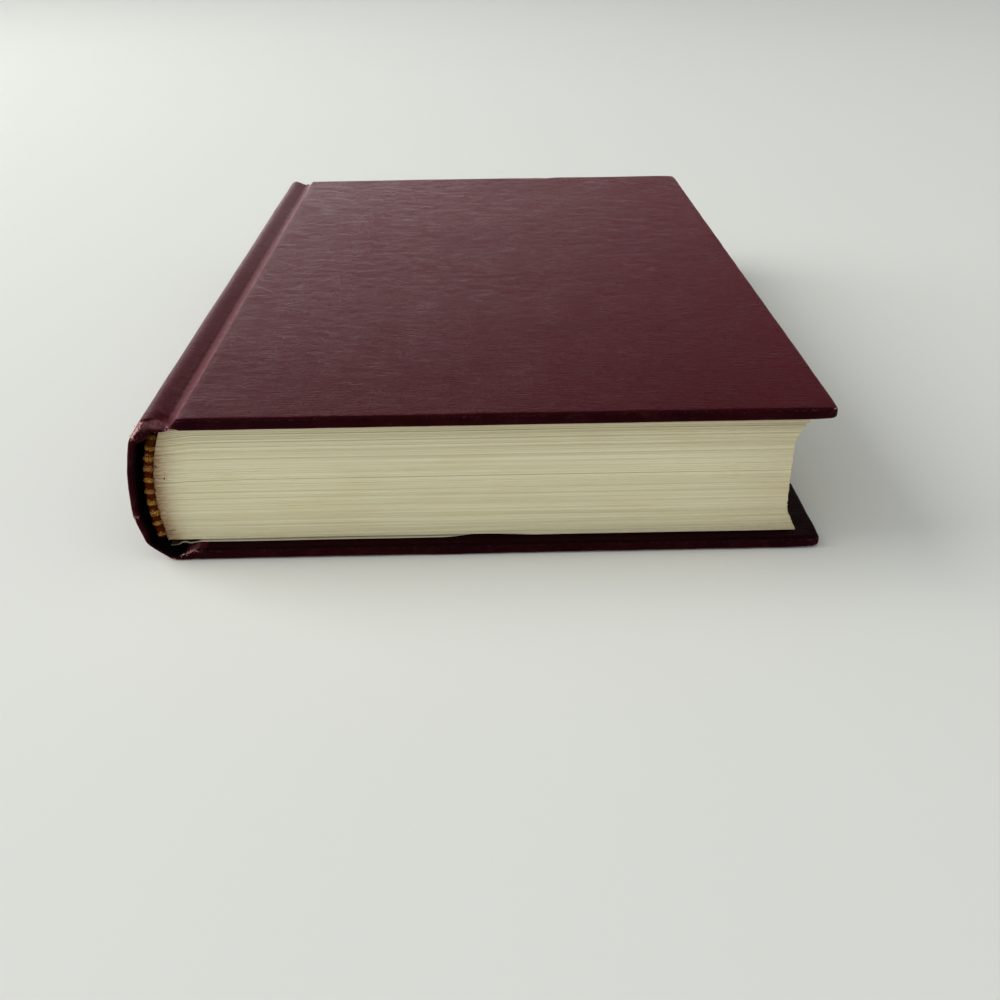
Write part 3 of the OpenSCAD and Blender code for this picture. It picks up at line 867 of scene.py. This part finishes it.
def ramp_up(x):
    return (x + np.sqrt(x * x + FAN_SOFT**2)) / 2


def fore_u(z):
    """The leaves' hollow fore-edge at a height, where they fan out at both faces."""
    fan = FAN_TOP * ramp_up(z - LEAF_HI + FAN_H) + FAN_FOOT * ramp_up(LEAF_LO + FAN_H - z)
    return FORE_IN + fan / ramp_up(FAN_H)


def leaf_layers(rng):
    """Each layer's bottom, top, shift, stand-back and fore-edge, a little out of line."""
    pitch = BLOCK_T / LAYERS
    drift = np.cumsum(rng.normal(0, 0.05, LAYERS))
    drift -= np.linspace(drift[0], drift[-1], LAYERS)
    for i in range(LAYERS):
        lo, hi = LEAF_LO + i * pitch, LEAF_LO + (i + 0.98) * pitch
        shift = np.clip(0.06 * drift[i] + rng.normal(0, 0.035), -0.2, LAYER_GAP)
        if rng.random() < 0.06:
            shift -= rng.uniform(0.05, 0.14)
        fore = rng.normal(0, 0.07) - 0.12
        if (lo + hi) / 2 > LEAF_HI - 3.2:
            fore += rng.uniform(-0.45, 0.15)
        # The lowest leaves stand back at the tail, which leaves a dark line above the cover
        deep = FOOT_BACK if lo < LEAF_LO + 0.4 else 0.0
        yield lo, hi, shift, deep, fore


def build_pages():
    """The leaves as thin layers."""
    rng = np.random.default_rng(5)
    points, faces, tones = [], [], []
    back, fore_edge = [0, 0.006, 0.014, 0.024, 0.036], [0.955, 0.975, 0.99, 1]
    share_u = np.array([*back, *np.linspace(0.055, 0.93, 11), *fore_edge])
    share_y = np.array([-1, -0.985, -0.94, -0.7, -0.35, 0, 0.35, 0.7, 0.94, 0.985, 1])
    cols, rows = len(share_u), len(share_y)
    size = rows * cols
    for lo, hi, shift, deep, fore in leaf_layers(rng):
        mid = (lo + hi) / 2
        u0, u1 = back_u(mid), fore_u(mid) + fore
        grids = np.meshgrid([lo, hi], share_y, u0 + (u1 - u0) * share_u, indexing="ij")
        z, t, u = [grid.ravel() for grid in grids]
        reach = LEAF_Y - LAYER_GAP + np.minimum(np.where(t > 0, -shift, shift), LAYER_GAP)
        stand_back = deep * ease((FOOT_LONG_U + 14 - u) / 14) * (-t).clip(0)
        droop = BACK_DROOP * ease((mid - LEAF_LO) / BLOCK_T)
        room = min(1.0, (mid - LEAF_LO) / 2.5, (LEAF_HI - mid) / 2.5)
        p = np.stack([u, t * reach + stand_back, z], -1)
        p[:, 2] += room * (0.07 * ripple(p, (70, 80, 14), 41) + 0.02 * ripple(p, (14, 30, 3), 42))
        p[:, 2] -= droop * ease(1 - (u - back_u(LEAF_HI)) / DROOP_W)
        p[:, 1] += 0.05 * ripple(p, (18, 50, 0.8), 43) * (np.abs(t) == 1)
        start = len(points) * 2 * size
        points.append(p)
        faces += grid_faces(rows, cols, start, flip=True)
        faces += grid_faces(rows, cols, start + size)
        faces += rim_faces(rows, cols, start, size)
        spread = 0.45 if mid > LEAF_HI - 4.2 else 0.22
        tones.append(np.full(2 * size, np.clip(0.75 + rng.normal(0, spread), 0, 1)))
    points = np.concatenate(points)
    u, _, z = points.T
    inward = (u - back_u(z)).clip(0)
    # A brown stain near the spine, strong and then broad, and a little darker away from the spine
    stain_and_shade = 0.95 * np.exp(-((inward / 3.3) ** 1.6)) * (1 - 0.45 * ease((z - 24) / 6))
    stain_and_shade += 0.10 * np.exp(-inward / 8) + 0.05 * ease((u - 12) / 25)
    # Darker towards the fore-edge
    stain_and_shade += 0.14 * ease((u - 118) / 24)
    # Painted shade along the block's top and bottom, under the boards' overhang, more of it towards the
    # fore-edge
    rim = np.exp(-(LEAF_HI - z).clip(0) / 3.5) + np.exp(-(z - LEAF_LO).clip(0) / 3.5)
    stain_and_shade += 0.095 * rim * (1 + ease((u - 50) / 60))
    fields = {"tone": np.concatenate(tones), "stain_and_shade": stain_and_shade.clip(0, 1)}
    piece = make_piece("leaves", points, faces, LEAVES, smooth=False, **fields)
    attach(piece, "text_block")
    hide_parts("pages")


def build_marks():
    """Dark fibres and a fly speck that lie on the cut edges at the tail."""
    y = -(LEAF_Y + 0.06)
    rng = np.random.default_rng(8)
    tubes = []
    curls = [
        ([(-8.1, 24.1), (-7.8, 23.7), (-7.5, 23.5), (-7.35, 23.1), (-7.0, 22.95)], 0.10),
        ([(-7.3, 6.3), (-6.6, 6.45), (-6.2, 6.35), (-5.4, 6.7)], 0.06),
        ([(-5.93, 20.2), (-5.78, 20.15)], 0.22),
    ]
    for line, radius in curls:
        t = np.linspace(0, len(line) - 1, 5 * len(line))
        u, z = walk(line, t).T
        path = np.stack([u, y - rng.uniform(0, 0.05, len(t)), z], -1)
        tubes.append((path, radius * (0.5 + 0.5 * np.sin(np.linspace(0.3, math.pi - 0.3, len(t))))))
    piece = tube_piece("page_marks", tubes, mark_material(), 6)
    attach(piece, "text_block")


# Endpapers
def paper_sheet(name, line, flip, seed, painted_shade=None, change=None):
    """A sheet along a [u, z] line. Painted shade and a change of shape are functions of its points."""
    shares = [*np.linspace(0, 0.93, 16)[1:], 0.95, 0.97, 0.983, 0.992, 0.997, 1]
    # Closer rows beside the turned-in cloth, where the pastedown sinks
    turned = [HALF_H - TURN_IN + step for step in (-1.3, -0.9, -0.5, -0.1, 0.3)]
    half = sorted([share * LEAF_Y for share in shares] + turned)
    ys = [-y for y in half[::-1]] + [0.0] + half
    flat = np.array([(u, y, z) for y in ys for u, z in line])
    flat[:, 1] += np.sign(flat[:, 1]) * 0.08 * (ripple(flat, 24.0, seed) - 1)
    faces = grid_faces(len(ys), len(line), flip=flip)
    dark = painted_shade(flat) if painted_shade else np.zeros(len(flat))
    points = change(flat) if change else flat
    return thicken(make_piece(name, points, faces, ENDPAPER, dark=dark), PAPER_T)


def paste_line(upper):
    """The pastedown from the board's fore-edge to the joint, then on to the leaves' back."""
    cloth, wing = BOARD_W - TURN_IN, MULL_WING
    us = [
        *np.linspace(BOARD_W - FORE_SQUARE, cloth + 1.6, 6), cloth + 0.8, cloth + 0.2, cloth - 0.4,
        *np.linspace(cloth - 1.2, wing + 2.0, 40), wing + 1.0, wing + 0.4, wing - 0.2, wing - 0.8,
        *np.linspace(25.0, 1.0, 10),
    ]
    face = RIM_Z - GLUE_T
    line = [(u, face) for u in us]
    joint = np.array([HINGE_U, TOTAL_T - 1.84])
    for u in np.linspace(0.3, HINGE_U, 8):
        line.append((u, face + (joint[1] - face) * float(ease((0.3 - u) / (0.3 - HINGE_U)))))
    leaf_z = LEAF_HI - BACK_DROOP if upper else LEAF_LO
    corner = np.array([float(back_u(leaf_z)) - 0.05, leaf_z + 0.2 if upper else TOTAL_T - LEAF_LO + 0.2])
    line += [tuple(joint + (corner - joint) * t) for t in np.linspace(0, 1, 9)[1:]]
    line = np.array(line)
    if not upper:
        line[:, 1] = TOTAL_T - line[:, 1]
    return line


def build_pastedown(side):
    upper = side == "front"
    sign = 1 if upper else -1

    def folded(p):
        """Painted shade in the joint, where the sheet folds from the board to the leaves."""
        return ease(0.2 - p[:, 0])

    def sink(p):
        """The sheet sinks onto the board inside the turned-in cloth, and stands back in the joint."""
        u, y, z = p.T
        inside = ease((u - MULL_WING) / 1.2) * ease((BOARD_W - TURN_IN - u) / 1.2)
        inside = inside * ease((HALF_H - TURN_IN - 0.1 - np.abs(y)) / 1.2)
        back_off = 0.9 * folded(p)
        if not upper:
            back_off = np.maximum(back_off, 0.5 + 1.3 * ease((u - FOOT_LONG_U) / 9))
            u = u - 2.4 * ease((u - 128) / 14)
        return np.stack([u, y - np.sign(y) * back_off, z + sign * CLOTH_T * inside], -1)

    seed = 51 if upper else 61
    piece = paper_sheet(f"{side}_pastedown_sheet", paste_line(upper), not upper, seed, folded, sink)
    bend_at_joint(piece, side, -3.3, -0.3)
    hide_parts(f"{side}_pastedown")


def shaded(p):
    """Painted shade on the lower flyleaf in the joint, less of it at its very edge."""
    u, y, _ = p.T
    edge = 0.3 + 0.5 * ease((-4.4 - u) / 0.8)
    return ease((0.8 - u) / 1.5) * np.maximum(edge, ease((LEAF_Y - np.abs(y) - 0.15) / 0.2))


def frayed(p):
    """The lower flyleaf's edge wavers in the joint and stands back further on."""
    u, y, z = p.T
    inset = LEAF_Y - np.abs(y)
    wave = np.interp(u, FRAY_U, FRAY_Z) * np.exp(-inset / 4.0)
    back_off = 1.6 * ease((u - FOOT_LONG_U) / 9) * (y < 0) * ease((5.3 - inset) / 5)
    u = u - 1.2 * ease((u - 128) / 14)
    return np.stack([u, y - np.sign(y) * back_off, z + wave], -1)


def build_flyleaf(side):
    upper = side == "front"
    leaf_z = LEAF_HI if upper else LEAF_LO
    droop = BACK_DROOP * upper
    back, fore = float(back_u(leaf_z - droop)), float(fore_u(leaf_z))
    us = np.concatenate([np.linspace(back, 4, 24), np.linspace(6, fore, 56)])
    face = leaf_z + (GLUE_T + PAPER_T) * (1 if upper else -1)
    line = np.stack([us, face - droop * ease(1 - (us - back) / DROOP_W)], -1)[::-1]
    # The lower flyleaf gets painted shade in the joint and a wavering edge
    wear = () if upper else (shaded, frayed)
    leaf = paper_sheet(f"{side}_flyleaf_sheet", line, upper, 71 if upper else 81, *wear)
    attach(leaf, "text_block")
    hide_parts(f"{side}_flyleaf")


# Headbands
LUMP_LEN = 1.42
THREAD_D = 0.29


def on_back(angle, radius, y):
    """A point at an angle and a distance from the middle of the rounded back's circle."""
    return np.array([BACK_CU - radius * math.cos(angle), y, BACK_CZ + radius * math.sin(angle)])


def wound_threads(angles, sides, end):
    """The rolled edge: each point with its place along the lumps, winding, rosiness and painted shade.
    """
    ring = BACK_R + 0.05 + BEAD_D / 2
    length = ring * (angles[0] - angles[-1])
    lumps = np.random.default_rng(91 if end < 0 else 92).normal(0, 1, (30, 3))
    for a, s in zip(angles, np.linspace(0, length, len(angles))):
        place = (s + 0.35) / LUMP_LEN + 0.12 * math.sin(1.7 * s) + 0.07 * math.sin(4.1 * s + 1)
        own = lumps[int(place) % len(lumps)]
        bulge = abs(math.sin(math.pi * place)) ** 0.7
        gold = int(place) % 2 == 0
        rosy = 0.9 if gold and (own[0] > 0.35 or s > length - 2.0) else 0.0
        swell = (0.24 if gold else 0.06) * (1 + 0.3 * own[0])
        out = np.array([-math.cos(a), 0, math.sin(a)])
        centre = on_back(a, ring + 0.05 * own[1] * bulge, end * (LEAF_Y + 0.12))
        taper = min(1.0, 0.45 + s / 0.7, 0.45 + (length - s) / 0.7)
        for t in np.linspace(0, 2 * math.pi, sides, endpoint=False):
            twist = 0.28 * math.sin(t) + 0.05 * own[2]
            wound = abs(math.cos(math.pi * (s + twist + 0.08 * t) / THREAD_D))
            r = BEAD_D / 2 * (0.86 + swell * bulge) + 0.05 * (wound - 0.5)
            across = 1.22 * math.cos(t) * out + math.sin(t) * np.array([0, end, 0])
            # Painted shade on the side towards the leaves, on the side towards the spine, and on the
            # upper lumps in the upper cover's shade
            inner = 0.35 * ease((-math.cos(t) - 0.2) / 0.6)
            spine_side = 0.6 * ease((math.cos(t) - 0.7) / 0.3)
            top = 0.7 * ease((centre[2] - 26.5) / 3.0)
            winding = wound * (0.15 + 0.85 * bulge)
            along = (place + twist / LUMP_LEN) / 2
            yield centre + r * taper * across, along, winding, rosy, max(inner, spine_side, top)


def woven_tape(angles, cols, end):
    """Both faces of the tape, glued to the back of the leaves, with the same values per point."""
    for radius in (BACK_R + 0.06, BACK_R + 0.36):
        for a in angles:
            for t in range(cols):
                y = end * (LEAF_Y - TAPE_W + (TAPE_W - 0.8) * t / (cols - 1))
                winding = 0.4 + 0.5 * abs(math.cos(math.pi * t * 0.9))
                # The tape gets a little painted shade
                yield on_back(a, radius, y), 0.75, winding, 0.0, 0.3


def build_headband(name, end):
    """A rolled edge of two threads wound over a core, on a woven tape."""
    angle_hi = math.asin((LEAF_HI - BAND_INSET - BACK_CZ) / BACK_R)
    angle_lo = math.asin((LEAF_LO + BAND_INSET - BACK_CZ) / BACK_R)
    steps, sides = 340, 20
    rows, cols = 40, 8
    made = list(wound_threads(np.linspace(angle_hi, angle_lo, steps), sides, end))
    faces = grid_faces(steps, sides, close_cols=True, flip=end < 0)
    caps = [range(sides), range((steps - 1) * sides, steps * sides)[::-1]]
    faces += [cap if end < 0 else cap[::-1] for cap in caps]
    start, size = len(made), rows * cols
    made += woven_tape(np.linspace(angle_hi, angle_lo, rows), cols, end)
    flip = end > 0
    faces += grid_faces(rows, cols, start, flip=flip)
    faces += grid_faces(rows, cols, start + size, flip=not flip)
    faces += rim_faces(rows, cols, start, size, flip=not flip)
    points, *values = zip(*made)
    fields = dict(zip(("along", "winding", "rosy", "dark"), values))
    piece = make_piece(f"{name}_threads", points, faces, THREAD, **fields)
    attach(piece, "text_block")
    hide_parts(name)


# Frayed places
def fibre(start, heading, length, rng):
    """A loose fibre's path, which keeps near where it starts."""
    steps = 7
    path = [np.array(start, float)]
    for _ in range(steps):
        heading = heading + rng.normal(0, 0.55, 3)
        heading /= np.linalg.norm(heading)
        path.append(path[-1] + heading * length / steps * rng.uniform(0.5, 1.2))
    path = np.array(path)
    path[:, 1] = np.clip(path[:, 1], -HALF_H - 0.1, HALF_H + 0.1)
    path[:, 2] = np.clip(path[:, 2], 0.05, TOTAL_T)
    return path


def fray_piece(name, paths):
    """Fibres that taper to half their thickness, each a path and a radius."""
    tubes = [(path, np.linspace(radius, radius / 2, len(path))) for path, radius in paths]
    return tube_piece(name, tubes, LINT, 5)


def scatter(rng, line, number, spread, length, radius=0.10):
    """Fibres strewn along a line of [u, y, z] points."""
    paths = []
    for _ in range(number):
        at = walk(line, rng.uniform(0, len(line) - 1)) + rng.normal(0, 0.5, 3) * spread
        paths.append((fibre(at, rng.normal(0, 1, 3), length, rng), radius * rng.uniform(0.6, 1.1)))
    return paths


def build_lint():
    """Loose fibres at the worn ends of the spine and the joints."""
    rng = np.random.default_rng(17)
    y = HALF_H - 0.15
    slope = [(-10.5, 0.7, 32.4), (-9.7, 0.6, 33.6), (-8.7, 0.5, 34.6), (-7.6, 0.9, 35.2)]
    tail_slope = [(u, inset - y, z) for u, inset, z in slope]
    head_slope = [(u, y - inset, z) for u, inset, z in slope]
    paths = scatter(rng, tail_slope, 22, (0.35, 0.2, 0.35), 0.55, 0.11)
    paths += scatter(rng, head_slope, 12, (0.35, 0.2, 0.35), 0.5)
    paths += scatter(rng, [(-13.2, -y, 11.5), (-13.1, -y, 10.9)], 5, (0.1, 0.1, 0.2), 0.35, 0.10)
    paths += scatter(rng, [(-6.9, -y, 0.5), (-5.6, -y, 0.6)], 6, (0.3, 0.1, 0.15), 0.5, 0.07)
    piece = fray_piece("spine_fray", paths)
    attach(piece, "text_block")

    # The cloth's cut edge at the end of each joint: a small loop above, loose threads below
    turn = np.linspace(0.2, 2 * math.pi, 16)
    ring = [-2.35 + 0.44 * np.cos(turn), -y + 0.1 * np.sin(3 * turn), 34.05 + 0.44 * np.sin(turn)]
    above = [(-2.9, -y, 33.7), (-1.8, -y, 33.5)]
    below = [(-4.2, -y, 1.1), (-3.1, -y, 1.75), (-1.8, -y, 2.4), (-0.3, -y, 2.75)]
    joints = {
        "front": [(np.stack(ring, -1), 0.17)] + scatter(rng, above, 6, (0.2, 0.1, 0.15), 0.5, 0.07),
        "back": scatter(rng, below, 24, (0.25, 0.15, 0.2), 0.8, 0.08),
    }
    for side, threads in joints.items():
        bend_at_joint(fray_piece(f"{side}_joint_fray", threads), side)


# Everything
for side in ("front", "back"):
    build_cover(side)
    build_pastedown(side)
    build_flyleaf(side)
build_spine()
build_pages()
build_marks()
build_headband("headband", 1)
build_headband("tailband", -1)
build_lint()

board = plain_fibre("grey_board", (0.30, 0.27, 0.21), (0.22, 0.19, 0.15), 1.6)
kraft = plain_fibre("kraft_lining", (0.36, 0.26, 0.15), (0.27, 0.19, 0.10), (0.4, 1.8, 0.4))
card = plain_fibre("spine_card", (0.33, 0.29, 0.22), (0.25, 0.21, 0.16), 1.2)
gauze = plain_fibre("mull_gauze", (0.66, 0.61, 0.50), (0.58, 0.52, 0.40), 1.1, weave=1.2)
NODE_LOOKS = [
    (gauze, ["mull", "front_mull_wing", "back_mull_wing"]),
    (kraft, ["spine_lining"]),
    (card, ["spine_inlay"]),
    (board, ["front_board", "back_board"]),
]
for look, names in NODE_LOOKS:
    for name in names:
        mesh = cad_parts[name].data
        mesh.materials.clear()
        mesh.materials.append(look)


# Floor, light, camera
def add_floor():
    half = 3.0
    corners = [(-half, -half, 0), (half, -half, 0), (half, half, 0), (-half, half, 0)]
    mesh = bpy.data.meshes.new("floor")
    mesh.from_pydata(corners, [], [(0, 1, 2, 3)])
    mesh.materials.append(floor_material())
    add_object("floor", mesh)


def add_key_light():
    """A large soft light from the left, aimed at the book."""
    light = bpy.data.lights.new("key", "AREA")
    light.shape = "RECTANGLE"
    light.size, light.size_y = 1.6, 1.6
    light.energy = 32.0
    light.color = (1.0, 0.985, 0.955)
    lamp = add_object("key", light)
    lamp.location = (-1.7, 0.3, 1.15)
    lamp.rotation_mode = "QUATERNION"
    lamp.rotation_quaternion = (-lamp.location).to_track_quat("-Z", "Y")


def set_world():
    """Room light: bright at the table's height and overhead, darker between them at the back."""
    world = bpy.data.worlds.new("studio")
    bpy.context.scene.world = world
    n = Nodes(world)
    sky = n.tree.nodes["Background"]
    x, y, z = n.parts(n.node("TexCoord").outputs["Generated"])
    low = n.times(n.ramp(z, 0.02, 0.262, 1.0, 0.015), n.ramp(x, -0.38, 0.34, 6.8, 1.2))
    high = n.ramp(z, 0.45, 0.9, 0.0, 0.50)
    back = n.plus(low, high)
    share = n.ramp(y, -0.35, 0.25)
    front = n.times(n.math("SUBTRACT", 1.0, share), n.ramp(x, -1.0, 1.0, 0.82, 0.56))
    light = n.plus(n.times(back, share), front)
    n.put(sky.inputs["Strength"], light)
    sky.inputs["Color"].default_value = (0.99, 1.0, 0.985, 1)


def add_camera():
    """The photo's camera: focal length in pixels of its 1000-pixel frame, place and angles."""
    focal, frame_px = 1101.7, 1000.0
    place = Vector((1.60, -339.95, 135.88)) * MM
    pitch, yaw, roll = 0.4988, 0.0137, 0.0124
    turn = Matrix.Rotation(-yaw, 4, "Z") @ Matrix.Rotation(math.pi / 2 - pitch, 4, "X")
    turn = turn @ Matrix.Rotation(-roll, 4, "Z")
    data = bpy.data.cameras.new("camera")
    data.sensor_width = 36.0
    data.lens = data.sensor_width * focal / frame_px
    data.clip_start = 0.01
    camera = add_object("camera", data)
    camera.matrix_world = Matrix.Translation(place) @ turn
    bpy.context.scene.camera = camera


add_floor()
set_world()
add_key_light()
add_camera()
bpy.context.scene.view_settings.view_transform = "Standard"
